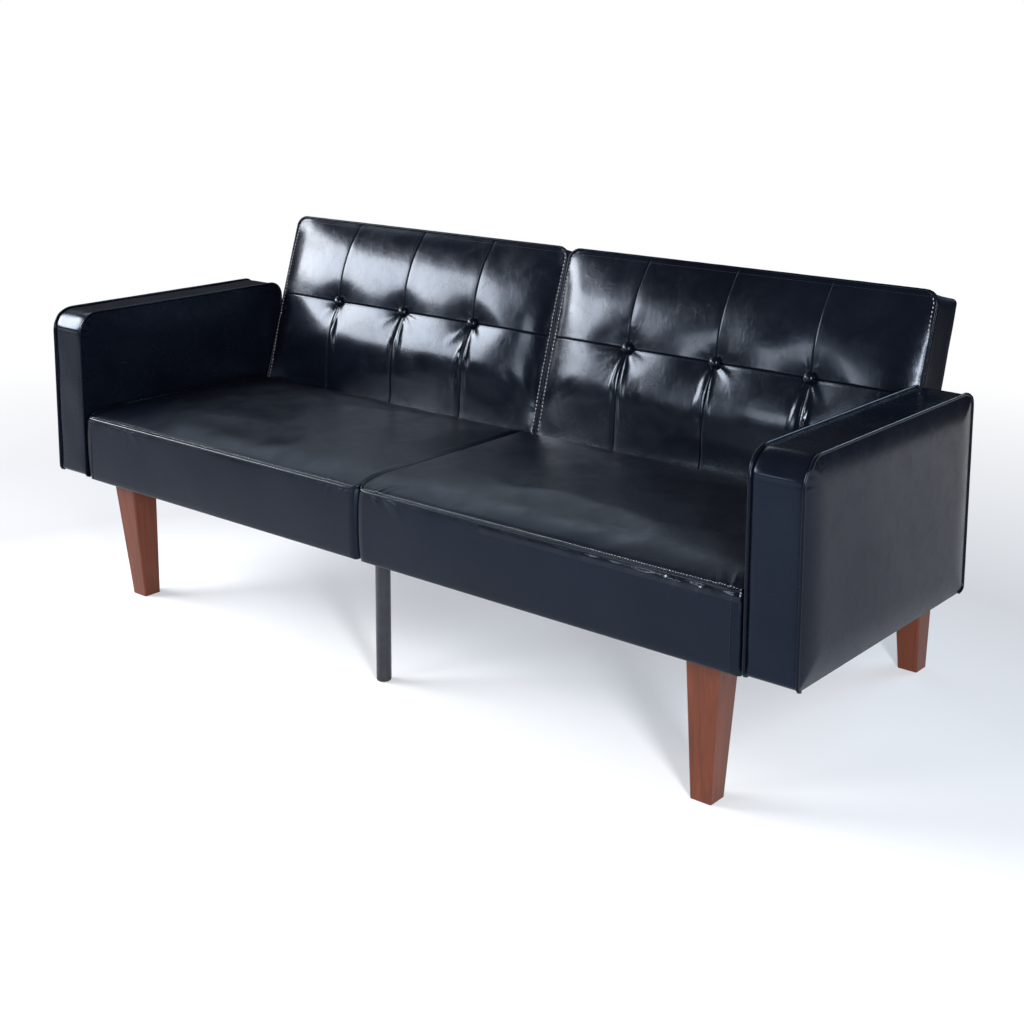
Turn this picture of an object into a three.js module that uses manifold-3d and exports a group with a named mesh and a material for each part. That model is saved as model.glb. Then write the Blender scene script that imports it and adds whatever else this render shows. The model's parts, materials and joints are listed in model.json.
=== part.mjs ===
// Split-back futon sofa bed: a timber seat frame on four tapered legs and two steel centre legs, two
// padded arms, two seat halves, and two tufted backs that recline flat on ratchet hinges.
//
// Millimetres, +Z up, +X to the right seen from the front, +Y towards the back. The shapes are laid out
// from the front face of the arms (y = 0) and the floor (z = 0); the last lines shift the whole object so
// that its origin is the centre of its footprint on the floor.

import * as THREE from 'three';
import { mergeVertices } from 'three/addons/utils/BufferGeometryUtils.js';
import Module from 'manifold-3d';

const wasm = await Module();
wasm.setup();

// ---- Driving dimensions ----------------------------------------------------------------------------

const WIDTH = 1880;                 // over the arms
const DEPTH = 836;                  // front of the arms to the rear of the frame
const GAP = 0.3;                    // between pieces that touch

const ARM = { thickness: 96, depth: 583, bottom: 262, top: 626 };
const FRAME = { bottom: 262, seatTop: 368, rearTop: 300, seatRear: 500, board: 22 };
const SEAT = { front: 2, top: 415.5, bottom: 372, rearTop: 519, rearBottom: 507, inner: 2.5, outer: 836 };

const BACK = {
  lean: THREE.MathUtils.degToRad(17.1),
  meetY: 534.6,                     // where the upright back's face meets the level of the seat top
  visible: 383,                     // slope length above the seat
  thickness: 85.7,
  inner: 2,
  outer: 840,
  foam: 42,                         // front foam over the timber frame
  crown: 30,                        // how far the tufted face stands forward of its edges
};
const HINGE = { depth: 64, up: 36, plate: 4, boss: 15, rivet: 5, head: 9, headThickness: 2.5 };

const LEG = { top: 65, bottom: 41, chamfer: 3, frontX: 718.5, frontY: 93, rearX: 774, rearY: 769 };
const CENTRE_LEG = { radius: 14.7, flange: 34, flangeThickness: 3, frontY: 70, rearY: 802 };
const BUTTON = { radius: 12, pit: 13, depth: 9, columns: [209, 418, 626] };

// ---- Worked-out places -----------------------------------------------------------------------------

const ARM_INNER = WIDTH / 2 - ARM.thickness;
const LEG_HEIGHT = FRAME.bottom - GAP;

// The pivot lies HINGE.depth behind the back's face and as far below the seat top, so that the
// reclined back ends level with the seat.
const PIVOT_SLOPE = HINGE.depth * (1 - Math.sin(BACK.lean)) / Math.cos(BACK.lean);
const PIVOT = {
  y: BACK.meetY - PIVOT_SLOPE * Math.sin(BACK.lean) + HINGE.depth * Math.cos(BACK.lean),
  z: SEAT.top - HINGE.depth,
};
const SEAT_LEVEL = HINGE.up + PIVOT_SLOPE;          // up the slope from the back's bottom edge
const BACK_LENGTH = SEAT_LEVEL + BACK.visible;
const BUTTON_ROW = SEAT_LEVEL + BACK.visible / 2;

// Planes of each hinge, measured from the middle of the sofa: [seat plate, back plate, back side rail].
const INNER_HINGE = { seatPlate: [37, 41], backPlate: [32.7, 36.7], sideRail: [12, 32.4] };
const OUTER_HINGE = { seatPlate: [801, 805], backPlate: [805.3, 809.3], sideRail: [809.6, 830] };

// ---- Materials -------------------------------------------------------------------------------------

const finish = (color, roughness, metalness) => () =>
  new THREE.MeshStandardMaterial({ color, roughness, metalness });

const LEATHER = finish(0x14161b, 0.3, 0);
const LEG_WOOD = finish(0x7d3b22, 0.4, 0);
const TIMBER = finish(0xb58d5c, 0.8, 0);
const BLACK_STEEL = finish(0x1c1d20, 0.45, 0.6);
const ZINC_STEEL = finish(0x8d9094, 0.4, 0.9);
const RUBBER = finish(0x101010, 0.9, 0);
const CLOTH = finish(0x1a1a1c, 0.95, 0);
const WEBBING = finish(0x8c8577, 0.95, 0);

// ---- Geometry helpers ------------------------------------------------------------------------------

const sofa = new THREE.Group();
sofa.position.set(0, -DEPTH / 2, 0);

const AXIS_X = new THREE.Vector3(1, 0, 0);
const AXIS_Y = new THREE.Vector3(0, 1, 0);
const AXIS_Z = new THREE.Vector3(0, 0, 1);

function addMesh(parent, name, geometry, material) {
  const mesh = new THREE.Mesh(geometry, material());
  mesh.name = name;
  parent.add(mesh);
}

// A range on one side of the sofa: side is -1 for the left half and +1 for the right half.
function onSide(side, [inner, outer]) {
  return side > 0 ? [inner, outer] : [-outer, -inner];
}

function box([x0, x1], [y0, y1], [z0, z1]) {
  const geometry = new THREE.BoxGeometry(x1 - x0, y1 - y0, z1 - z0);
  return geometry.translate((x0 + x1) / 2, (y0 + y1) / 2, (z0 + z1) / 2);
}

// Extrudes a (y, z) outline along X, with its ends rounded over by `round`.
function alongX(shape, [x0, x1], round = 0, roundSteps = 2, curveSegments = 6) {
  const geometry = new THREE.ExtrudeGeometry(shape, {
    depth: x1 - x0 - 2 * round,
    bevelEnabled: round > 0,
    bevelThickness: round,
    bevelSize: round,
    bevelOffset: -round,
    bevelSegments: roundSteps,
    curveSegments,
  });
  const turn = new THREE.Matrix4().makeBasis(AXIS_Y, AXIS_Z, AXIS_X);
  return geometry.translate(0, 0, x0 + round).applyMatrix4(turn);
}

// Extrudes an (x, z) outline along Y, with both faces rounded over by `round`.
function alongY(shape, [y0, y1], round, roundSize, roundSteps = 3) {
  const geometry = new THREE.ExtrudeGeometry(shape, {
    depth: y1 - y0 - 2 * round,
    bevelEnabled: true,
    bevelThickness: round,
    bevelSize: roundSize,
    bevelOffset: -roundSize,
    bevelSegments: roundSteps,
    curveSegments: 3,
  });
  const turn = new THREE.Matrix4().makeBasis(AXIS_X, AXIS_Z, AXIS_Y.clone().negate());
  return geometry.translate(0, 0, -y1 + round).applyMatrix4(turn);
}

// A rectangle from (x0, y0) to (x1, y1) with one radius per corner, counter-clockwise from (x0, y0).
function roundedRectangle([x0, x1], [y0, y1], [r00, r10, r11, r01]) {
  const shape = new THREE.Shape();
  shape.moveTo(x0 + r00, y0);
  shape.lineTo(x1 - r10, y0);
  shape.absarc(x1 - r10, y0 + r10, r10, -Math.PI / 2, 0);
  shape.lineTo(x1, y1 - r11);
  shape.absarc(x1 - r11, y1 - r11, r11, 0, Math.PI / 2);
  shape.lineTo(x0 + r01, y1);
  shape.absarc(x0 + r01, y1 - r01, r01, Math.PI / 2, Math.PI);
  shape.lineTo(x0, y0 + r00);
  shape.absarc(x0 + r00, y0 + r00, r00, Math.PI, 1.5 * Math.PI);
  return shape;
}

function polygon(points) {
  return new THREE.Shape(points.map(([x, y]) => new THREE.Vector2(x, y)));
}

function addHole(shape, x, y, radius) {
  const hole = new THREE.Path();
  hole.absarc(x, y, radius, 0, 2 * Math.PI, true);
  shape.holes.push(hole);
  return shape;
}

// A turned piece about X, from [radius, x] pairs that start and end on the axis.
function turnedAboutX(profile, y, z, segments = 20) {
  const points = profile.map(([radius, x]) => new THREE.Vector2(radius, x));
  return new THREE.LatheGeometry(points, segments).rotateZ(-Math.PI / 2).translate(0, y, z);
}

// A turned piece about Z, from [radius, z] pairs.
function turnedAboutZ(profile, x, y, segments = 24) {
  const points = profile.map(([radius, z]) => new THREE.Vector2(radius, z));
  return new THREE.LatheGeometry(points, segments).rotateX(Math.PI / 2).translate(x, y, 0);
}

function solidOf(geometry) {
  geometry.deleteAttribute('normal');
  geometry.deleteAttribute('uv');
  const merged = mergeVertices(geometry, 1e-3);
  return new wasm.Manifold(new wasm.Mesh({
    numProp: 3,
    vertProperties: new Float32Array(merged.attributes.position.array),
    triVerts: new Uint32Array(merged.index.array),
  }));
}

function geometryOf(solid) {
  const mesh = solid.getMesh();
  const geometry = new THREE.BufferGeometry();
  geometry.setAttribute('position', new THREE.BufferAttribute(mesh.vertProperties, 3));
  geometry.setIndex(new THREE.BufferAttribute(mesh.triVerts, 1));
  return geometry;
}

// Joins `added` to a body, then cuts `removed` from it.
function combine(body, added, removed) {
  let solid = solidOf(body);
  for (const piece of added) {
    solid = solid.add(solidOf(piece));
  }
  for (const piece of removed) {
    solid = solid.subtract(solidOf(piece));
  }
  return geometryOf(solid);
}

// ---- Seat ------------------------------------------------------------------------------------------

const SIDE_RAIL_FRONT = 28.3;
const FRONT_RAIL = [6, 28];
const CROSS_RAIL = [768, DEPTH];
const INNER_RAIL = [3, 36.7];
const OUTER_RAIL = [805.3, ARM_INNER - GAP];

// Full-depth side board: tall under the seat, low where the back swings over it.
function sideRail(planes, rearEnd) {
  const outline = polygon([
    [SIDE_RAIL_FRONT, FRAME.bottom],
    [rearEnd, FRAME.bottom],
    [rearEnd, FRAME.rearTop],
    [FRAME.seatRear, FRAME.rearTop],
    [FRAME.seatRear, FRAME.seatTop],
    [SIDE_RAIL_FRONT, FRAME.seatTop],
  ]);
  return alongX(outline, planes);
}

function buildSeatFrame(name, side) {
  const height = [FRAME.bottom, FRAME.seatTop];
  const rearRail = [FRAME.seatRear - FRAME.board, FRAME.seatRear];
  const betweenPlates = onSide(side, [INNER_HINGE.seatPlate[1] + 0.5, OUTER_HINGE.seatPlate[0] - 0.5]);
  const block = onSide(side, [714, 790]);

  addMesh(sofa, `${name}_seat_front_rail`, box(onSide(side, [12, SEAT.outer - 10]), FRONT_RAIL, height), TIMBER);
  addMesh(sofa, `${name}_seat_rear_rail`, box(betweenPlates, rearRail, height), TIMBER);
  addMesh(sofa, `${name}_seat_inner_rail`, sideRail(onSide(side, INNER_RAIL), CROSS_RAIL[0] - GAP), TIMBER);
  addMesh(sofa, `${name}_seat_outer_rail`, sideRail(onSide(side, OUTER_RAIL), CROSS_RAIL[0] - GAP), TIMBER);
  addMesh(sofa, `${name}_leg_block`, box(block, [SIDE_RAIL_FRONT, 100], [FRAME.bottom, 300]), TIMBER);
}

// Crossed elastic straps under the pad, as one sheet with an opening between each pair of straps.
function buildWebbing(name, side) {
  const strap = 45;
  const x = { start: 10, end: 828, openings: 7 };
  const y = { start: 12, end: 497, openings: 4 };
  const pitchX = (x.end - x.start - strap) / x.openings;
  const pitchY = (y.end - y.start - strap) / y.openings;
  const height = [FRAME.seatTop + GAP, SEAT.bottom - GAP];
  const openings = [];
  for (let column = 0; column < x.openings; column += 1) {
    const left = x.start + strap + column * pitchX;
    const across = onSide(side, [left, left + pitchX - strap]);
    for (let row = 0; row < y.openings; row += 1) {
      const low = y.start + strap + row * pitchY;
      openings.push(box(across, [low, low + pitchY - strap], [FRAME.seatTop, SEAT.bottom]));
    }
  }
  const sheet = box(onSide(side, [x.start, x.end]), [y.start, y.end], height);
  addMesh(sofa, `${name}_seat_webbing`, combine(sheet, [], openings), WEBBING);
}

// Foam and cover of one seat half. Its rear face slopes to clear the swing of the back.
function buildSeatPad(name, side) {
  const outline = new THREE.Shape();
  const radius = 20;
  outline.moveTo(SEAT.front + 8, SEAT.bottom);
  outline.lineTo(SEAT.rearBottom, SEAT.bottom);
  outline.lineTo(SEAT.rearTop, SEAT.top - 14);
  outline.lineTo(SEAT.rearTop - 8, SEAT.top);
  outline.lineTo(SEAT.front + radius, SEAT.top);
  outline.absarc(SEAT.front + radius, SEAT.top - radius, radius, Math.PI / 2, Math.PI);
  outline.lineTo(SEAT.front, SEAT.bottom + 8);
  addMesh(sofa, `${name}_seat_pad`, alongX(outline, onSide(side, [SEAT.inner, SEAT.outer]), 7), LEATHER);
}

// Underside cloth of one seat half, notched round the front leg.
function buildDustCover(name, side) {
  const outline = polygon([
    [42, 30],
    [710, 30],
    [710, 104],
    [838, 104],
    [838, 498],
    [42, 498],
  ].map(([x, y]) => [side * x, y]));
  const geometry = new THREE.ExtrudeGeometry(outline, { depth: 1.4, bevelEnabled: false });
  geometry.translate(0, 0, FRAME.bottom - 1.7);
  addMesh(sofa, `${name}_dust_cover`, geometry, CLOTH);
}

// Its ends are cut at a slant, so that they stay out of sight behind the arms.
function buildRearCrossRail() {
  const [front, rear] = CROSS_RAIL;
  const [long, short] = [OUTER_RAIL[1], 812];
  const outline = polygon([[-long, front], [long, front], [short, rear], [-short, rear]]);
  const rail = new THREE.ExtrudeGeometry(outline, { depth: FRAME.rearTop - FRAME.bottom, bevelEnabled: false });
  addMesh(sofa, 'rear_cross_rail', rail.translate(0, 0, FRAME.bottom), TIMBER);
}

// ---- Arms ------------------------------------------------------------------------------------------

function buildArm(name, side) {
  const outline = roundedRectangle([0, ARM.depth], [ARM.bottom, ARM.top], [10, 14, 26, 48]);
  const cover = alongX(outline, onSide(side, [ARM_INNER, WIDTH / 2]), 9, 3, 8);
  const middle = side * (ARM_INNER + WIDTH / 2) / 2;
  const board = { half: 22, front: 36, rear: ARM.depth - 36, top: ARM.top - 40 };
  const pocket = box(
    [middle - board.half - GAP, middle + board.half + GAP],
    [board.front - GAP, board.rear + GAP],
    [ARM.bottom - 5, board.top + GAP],
  );
  const core = box([middle - board.half, middle + board.half], [board.front, board.rear],
    [ARM.bottom + 1, board.top]);
  addMesh(sofa, `${name}_arm_pad`, combine(cover, [], [pocket]), LEATHER);
  addMesh(sofa, `${name}_arm_board`, core, TIMBER);
}

// ---- Legs ------------------------------------------------------------------------------------------

// A square leg whose two faces at the origin corner stay upright, while the other two taper in downwards.
function taperedLeg() {
  const c = LEG.chamfer;
  const t = LEG.top;
  const section = polygon([[c, 0], [t - c, 0], [t, c], [t, t - c], [t - c, t], [c, t], [0, t - c], [0, c]]);
  const geometry = new THREE.ExtrudeGeometry(section, { depth: LEG_HEIGHT, bevelEnabled: false });
  const positions = geometry.attributes.position;
  for (let i = 0; i < positions.count; i += 1) {
    const height = positions.getZ(i) / LEG_HEIGHT;
    const scale = THREE.MathUtils.lerp(LEG.bottom / LEG.top, 1, height);
    positions.setX(i, positions.getX(i) * scale);
    positions.setY(i, positions.getY(i) * scale);
  }
  return geometry;
}

function addLeg(name, x, y, quarterTurns) {
  const geometry = taperedLeg().rotateZ(quarterTurns * Math.PI / 2).translate(x, y, 0);
  addMesh(sofa, name, geometry, LEG_WOOD);
}

// A steel tube welded to a round flange, with a rubber plug as its foot.
function addCentreLeg(name, y) {
  const { radius, flange, flangeThickness } = CENTRE_LEG;
  const plug = { height: 9, round: 3 };
  const tube = [
    [0, plug.height + GAP],
    [radius, plug.height + GAP],
    [radius, LEG_HEIGHT - flangeThickness],
    [flange, LEG_HEIGHT - flangeThickness],
    [flange, LEG_HEIGHT],
    [0, LEG_HEIGHT],
  ];
  const foot = [
    [0, 0],
    [radius - plug.round, 0],
    [radius, plug.round],
    [radius, plug.height],
    [0, plug.height],
  ];
  addMesh(sofa, name, turnedAboutZ(tube, 0, y), BLACK_STEEL);
  addMesh(sofa, `${name}_foot`, turnedAboutZ(foot, 0, y), RUBBER);
}

function buildLegs() {
  addLeg('left_front_leg', -LEG.frontX, LEG.frontY, 2);
  addLeg('right_front_leg', LEG.frontX, LEG.frontY, 3);
  addLeg('left_rear_leg', -LEG.rearX, LEG.rearY, 0);
  addLeg('right_rear_leg', LEG.rearX, LEG.rearY, 1);
  addCentreLeg('front_centre_leg', CENTRE_LEG.frontY);
  addCentreLeg('rear_centre_leg', CENTRE_LEG.rearY);
}

// ---- Hinges ----------------------------------------------------------------------------------------

// Bracket on the seat's side rail: a foot along the rail and an upright that ends round the pivot.
function seatPlate(planes) {
  const foot = { front: 430, bottom: 268, top: 298, fillet: 8 };
  const outline = new THREE.Shape();
  outline.moveTo(foot.front, foot.bottom);
  outline.lineTo(PIVOT.y + HINGE.boss, foot.bottom);
  outline.lineTo(PIVOT.y + HINGE.boss, PIVOT.z);
  outline.absarc(PIVOT.y, PIVOT.z, HINGE.boss, 0, Math.PI);
  outline.lineTo(PIVOT.y - HINGE.boss, foot.top + foot.fillet);
  outline.lineTo(PIVOT.y - HINGE.boss - foot.fillet, foot.top);
  outline.lineTo(foot.front, foot.top);
  addHole(outline, PIVOT.y, PIVOT.z, HINGE.rivet + GAP);
  return alongX(outline, planes);
}

// Arm on the back's side rail, in the back's own frame with the pivot at its origin.
function backPlate(planes) {
  const reach = 170;
  const half = HINGE.boss - 2;
  const outline = new THREE.Shape();
  outline.absarc(0, 0, HINGE.boss, Math.PI, 2 * Math.PI);
  outline.lineTo(half, HINGE.boss);
  outline.lineTo(half, reach);
  outline.absarc(0, reach, half, 0, Math.PI);
  outline.lineTo(-half, HINGE.boss);
  addHole(outline, 0, 0, HINGE.rivet + GAP);
  return alongX(outline, planes);
}

// Shank through both plates with a formed head at each end.
function rivet(seatPlanes, backPlanes) {
  const low = Math.min(...seatPlanes, ...backPlanes);
  const high = Math.max(...seatPlanes, ...backPlanes);
  const { rivet: shank, head, headThickness } = HINGE;
  const profile = [
    [0, low - GAP - headThickness],
    [head - 1, low - GAP - headThickness],
    [head, low - GAP - headThickness / 2],
    [head, low - GAP],
    [shank, low - GAP],
    [shank, high + GAP],
    [head, high + GAP],
    [head, high + GAP + headThickness / 2],
    [head - 1, high + GAP + headThickness],
    [0, high + GAP + headThickness],
  ];
  return turnedAboutX(profile, PIVOT.y, PIVOT.z);
}

function buildHinge(name, side, planes, backFrame) {
  const seatPlanes = onSide(side, planes.seatPlate);
  const backPlanes = onSide(side, planes.backPlate);
  addMesh(sofa, `${name}_seat_plate`, seatPlate(seatPlanes), ZINC_STEEL);
  addMesh(backFrame, `${name}_back_plate`, backPlate(backPlanes), ZINC_STEEL);
  addMesh(sofa, `${name}_rivet`, rivet(seatPlanes, backPlanes), ZINC_STEEL);
}

// ---- Backs -----------------------------------------------------------------------------------------

// In a back's own frame the pivot is the origin, y is depth behind the pivot and z runs up the slope.
const depthAt = (fromFace) => fromFace - HINGE.depth;
const slopeAt = (fromBottom) => fromBottom - HINGE.up;

const RAIL_DEPTH = [depthAt(BACK.foam + 0.4), depthAt(79.7)];
const BACK_RAIL = { bottom: 4, top: 448, height: 20 };

function backSideRail(side, planes, hingeName) {
  const range = onSide(side, planes.sideRail);
  const rail = box(range, RAIL_DEPTH, [slopeAt(BACK_RAIL.bottom), slopeAt(BACK_RAIL.top)]);
  // Counterbore that leaves room for the rivet's head.
  const facesInwards = hingeName === 'outer';
  const sunk = HINGE.headThickness + 1.5;
  const near = facesInwards ? [planes.sideRail[0] - 1, planes.sideRail[0] + sunk]
    : [planes.sideRail[1] - sunk, planes.sideRail[1] + 1];
  const [x0, x1] = onSide(side, near);
  const bore = turnedAboutX([[0, x0], [HINGE.head + 2, x0], [HINGE.head + 2, x1], [0, x1]], 0, 0, 16);
  return combine(rail, [], [bore]);
}

// Foam and cover of one back: a shell over the frame, open below and behind, with a crowned face.
function backPad(side) {
  const range = onSide(side, [BACK.inner, BACK.outer]);
  const shell = roundedRectangle(range, [slopeAt(0), slopeAt(BACK_LENGTH)], [8, 8, 16, 16]);
  const body = alongY(shell, [depthAt(0), depthAt(80)], 6, 6, 2);

  const inset = 8;
  const face = roundedRectangle([range[0] + inset, range[1] - inset],
    [slopeAt(SEAT_LEVEL + 12), slopeAt(BACK_LENGTH - inset)], [48, 48, 48, 48]);
  const crown = alongY(face, [depthAt(-BACK.crown), depthAt(BACK.foam - 6)], BACK.crown, 40, 3);

  const pocketRange = onSide(side, [INNER_HINGE.sideRail[0] - GAP, OUTER_HINGE.sideRail[1] + GAP]);
  const pocket = box(pocketRange, [depthAt(BACK.foam), depthAt(90)],
    [slopeAt(-10), slopeAt(BACK_RAIL.top) + GAP]);

  const pits = BUTTON.columns.map((x) => {
    const low = depthAt(-BACK.crown - 5);
    const high = depthAt(-BACK.crown + BUTTON.depth);
    const cylinder = new THREE.CylinderGeometry(BUTTON.pit, BUTTON.pit, high - low, 20);
    return cylinder.translate(side * x, (low + high) / 2, slopeAt(BUTTON_ROW));
  });
  return combine(body, [crown], [pocket, ...pits]);
}

// A covered upholstery button: a low dome on a short skirt, facing forwards.
function button(x) {
  const seat = depthAt(-BACK.crown + BUTTON.depth) - GAP;
  const r = BUTTON.radius;
  const profile = [[0, -13], [r * 0.45, -12], [r * 0.8, -9], [r, -5], [r * 0.9, -1.5], [r * 0.6, 0], [0, 0]];
  const points = profile.map(([radius, y]) => new THREE.Vector2(radius, y));
  return new THREE.LatheGeometry(points, 16).translate(x, seat, slopeAt(BUTTON_ROW));
}

function buildBack(name, side) {
  const back = new THREE.Group();
  back.position.set(0, PIVOT.y, PIVOT.z);
  back.rotation.x = -BACK.lean;
  sofa.add(back);

  const betweenPlates = onSide(side, [INNER_HINGE.seatPlate[1] + 5, OUTER_HINGE.seatPlate[0] - 5]);
  const betweenRails = onSide(side, [INNER_HINGE.sideRail[1] + GAP, OUTER_HINGE.sideRail[0] - GAP]);
  const bottomRail = [slopeAt(BACK_RAIL.bottom), slopeAt(BACK_RAIL.bottom + BACK_RAIL.height)];
  const topRail = [slopeAt(BACK_RAIL.top - BACK_RAIL.height), slopeAt(BACK_RAIL.top)];
  const panel = box(onSide(side, [BACK.inner + 4, BACK.outer - 4]), [depthAt(80.3), depthAt(BACK.thickness)],
    [slopeAt(56), slopeAt(BACK_LENGTH - 6)]);

  addMesh(back, `${name}_back_inner_rail`, backSideRail(side, INNER_HINGE, 'inner'), TIMBER);
  addMesh(back, `${name}_back_outer_rail`, backSideRail(side, OUTER_HINGE, 'outer'), TIMBER);
  addMesh(back, `${name}_back_bottom_rail`, box(betweenPlates, RAIL_DEPTH, bottomRail), TIMBER);
  addMesh(back, `${name}_back_top_rail`, box(betweenRails, RAIL_DEPTH, topRail), TIMBER);
  addMesh(back, `${name}_back_panel`, panel, LEATHER);
  addMesh(back, `${name}_back_pad`, backPad(side), LEATHER);
  BUTTON.columns.forEach((x, index) => {
    addMesh(back, `${name}_back_button_${index + 1}`, button(side * x), LEATHER);
  });

  buildHinge(`${name}_inner_hinge`, side, INNER_HINGE, back);
  buildHinge(`${name}_outer_hinge`, side, OUTER_HINGE, back);
}

// ---- Assembly --------------------------------------------------------------------------------------

for (const [name, side] of [['left', -1], ['right', 1]]) {
  buildSeatFrame(name, side);
  buildWebbing(name, side);
  buildSeatPad(name, side);
  buildDustCover(name, side);
  buildArm(name, side);
  buildBack(name, side);
}
buildRearCrossRail();
buildLegs();

export default sofa;
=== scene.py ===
"""Looks for the split-back futon sofa bed: leather upholstery, piping, stitching, wood and steel.

Metres, in the frame of the CAD model: +X to the sofa's right seen from the front, +Y backwards, +Z up.
"""
import json
import math

import bmesh
import bpy
import numpy as np
from mathutils import Matrix, Vector


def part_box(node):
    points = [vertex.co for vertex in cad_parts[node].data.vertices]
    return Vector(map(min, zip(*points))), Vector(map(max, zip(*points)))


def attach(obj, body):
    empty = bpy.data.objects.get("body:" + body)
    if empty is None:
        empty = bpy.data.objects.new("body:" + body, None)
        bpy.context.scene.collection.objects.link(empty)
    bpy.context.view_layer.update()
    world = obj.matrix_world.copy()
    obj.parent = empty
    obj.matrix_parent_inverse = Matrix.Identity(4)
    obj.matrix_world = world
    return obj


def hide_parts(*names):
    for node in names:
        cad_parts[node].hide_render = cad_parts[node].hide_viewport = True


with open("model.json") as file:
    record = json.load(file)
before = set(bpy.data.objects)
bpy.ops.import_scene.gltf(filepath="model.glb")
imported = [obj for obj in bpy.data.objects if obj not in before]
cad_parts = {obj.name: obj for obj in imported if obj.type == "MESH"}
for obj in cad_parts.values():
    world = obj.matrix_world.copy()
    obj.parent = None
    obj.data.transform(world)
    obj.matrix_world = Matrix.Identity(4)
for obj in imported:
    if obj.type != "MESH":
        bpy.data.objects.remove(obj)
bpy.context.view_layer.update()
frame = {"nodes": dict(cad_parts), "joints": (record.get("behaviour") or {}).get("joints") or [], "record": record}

# ---- Places taken from the frame ----

MM = 0.001

PIVOT = Vector(frame["joints"][0]["pos_m"])
LEAN = math.radians(17.1)
BACK_DEPTH_AXIS = np.array([0.0, math.cos(LEAN), -math.sin(LEAN)])

ARM_LOW, ARM_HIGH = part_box("right_arm_pad")
PAD_LOW, PAD_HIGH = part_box("right_seat_pad")
RAIL_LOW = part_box("right_seat_front_rail")[0]


# ---- Maths ----

def smoothstep(edge0, edge1, value):
    t = np.clip((value - edge0) / (edge1 - edge0), 0.0, 1.0)
    return t * t * (3.0 - 2.0 * t)


def pillow(distance, reach, power=2.4):
    """0 at an edge, rising steeply and levelling out to 1 at `reach` from it."""
    return 1.0 - (1.0 - np.clip(distance / reach, 0.0, 1.0)) ** power


def bump(distance, width):
    return np.exp(-((distance / width) ** 2))


def ripple(u, v, seed, wavelength, count=14):
    """A smooth random field about 1 high, from sine waves in random directions."""
    rng = np.random.default_rng(seed)
    total = np.zeros(np.broadcast(u, v).shape)
    for _ in range(count):
        angle = rng.uniform(0.0, 2.0 * math.pi)
        wave = 2.0 * math.pi / (wavelength * rng.uniform(0.7, 1.5))
        phase = rng.uniform(0.0, 2.0 * math.pi)
        total += np.sin(wave * (u * math.cos(angle) + v * math.sin(angle)) + phase)
    return total * math.sqrt(2.0 / count) * 0.5


def graded_lines(low, high, seams, fine, coarse, growth=0.22):
    """Grid lines from low to high, close together beside each seam and wider apart between them."""
    marks = sorted({low, high, *seams})
    lines = [low]
    for start, end in zip(marks, marks[1:]):
        half = (end - start) / 2.0
        steps, reached = [], 0.0
        while reached < half:
            reached += min(coarse, fine + growth * reached)
            steps.append(reached)
        steps = np.array(steps) * (half / steps[-1])
        lines.extend([*(start + steps), *(end - steps[:-1][::-1]), end])
    return np.array(lines)


def sample_grid(values, rows, columns, new_rows, new_columns):
    """Smoothly interpolates a (rows, columns, k) grid at new row and column positions."""
    across = np.stack([catmull(columns, values[i], new_columns) for i in range(len(rows))])
    return np.stack([catmull(rows, across[:, j], new_rows) for j in range(len(new_columns))], axis=1)


def catmull(knots, values, wanted):
    """Cubic interpolation through (knots, values) with slopes from neighbouring knots."""
    slopes = np.gradient(values, knots, axis=0)
    index = np.clip(np.searchsorted(knots, wanted) - 1, 0, len(knots) - 2)
    span = (knots[index + 1] - knots[index])[:, None]
    t = ((wanted - knots[index]) / span[:, 0])[:, None]
    v0, v1 = values[index], values[index + 1]
    m0, m1 = slopes[index] * span, slopes[index + 1] * span
    t2, t3 = t * t, t * t * t
    return (2 * t3 - 3 * t2 + 1) * v0 + (t3 - 2 * t2 + t) * m0 + (3 * t2 - 2 * t3) * v1 + (t3 - t2) * m1


def rounding(radius, place):
    """How far a rounded corner pulls an outline in at `place`, the distance from the corner's end."""
    near = np.clip(radius - place, 0.0, radius)
    return radius - np.sqrt(radius ** 2 - near ** 2)


def pull_ends_in(x, low, high, inset, start):
    """Moves points near both ends of low to high inwards, from the share `start` of the half length on."""
    middle, half = (low + high) / 2, (high - low) / 2
    return x - np.sign(x - middle) * inset * smoothstep(start, 1.0, np.abs(x - middle) / half)


def outward_sign(values, low, high, reach):
    """-1 or 1 for values more than `reach` from the middle of low to high, and 0 for the rest."""
    away = values - (low + high) / 2
    return np.sign(away) * (np.abs(away) > reach)


def depth_inside(value, low, high):
    """How far a value is inside the nearer of two limits."""
    return np.minimum(value - low, high - value)


def nearest(lines, place):
    return int(np.argmin(np.abs(lines - place)))


def circle(sides):
    """Cosine and sine of equal steps round a circle."""
    angles = [2.0 * math.pi * k / sides for k in range(sides)]
    return [(math.cos(angle), math.sin(angle)) for angle in angles]


def points_at(x, y, z):
    return np.stack(np.broadcast_arrays(x, y, z), axis=-1)


def unit(vectors):
    return vectors / np.maximum(np.linalg.norm(vectors, axis=-1, keepdims=True), 1e-9)


# ---- Mesh building ----

def grid_faces(rows, columns, start=0):
    index = start + np.arange(rows * columns).reshape(rows, columns)
    corners = index[:-1, :-1], index[:-1, 1:], index[1:, 1:], index[1:, :-1]
    return np.stack(corners, axis=-1).reshape(-1, 4)


def grid_border(rows, columns):
    """Indices round the edge of a rows by columns grid, in order."""
    index = np.arange(rows * columns).reshape(rows, columns)
    return np.concatenate([index[0], index[1:, -1], index[-1, -2::-1], index[-2:0:-1, 0]])


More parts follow.
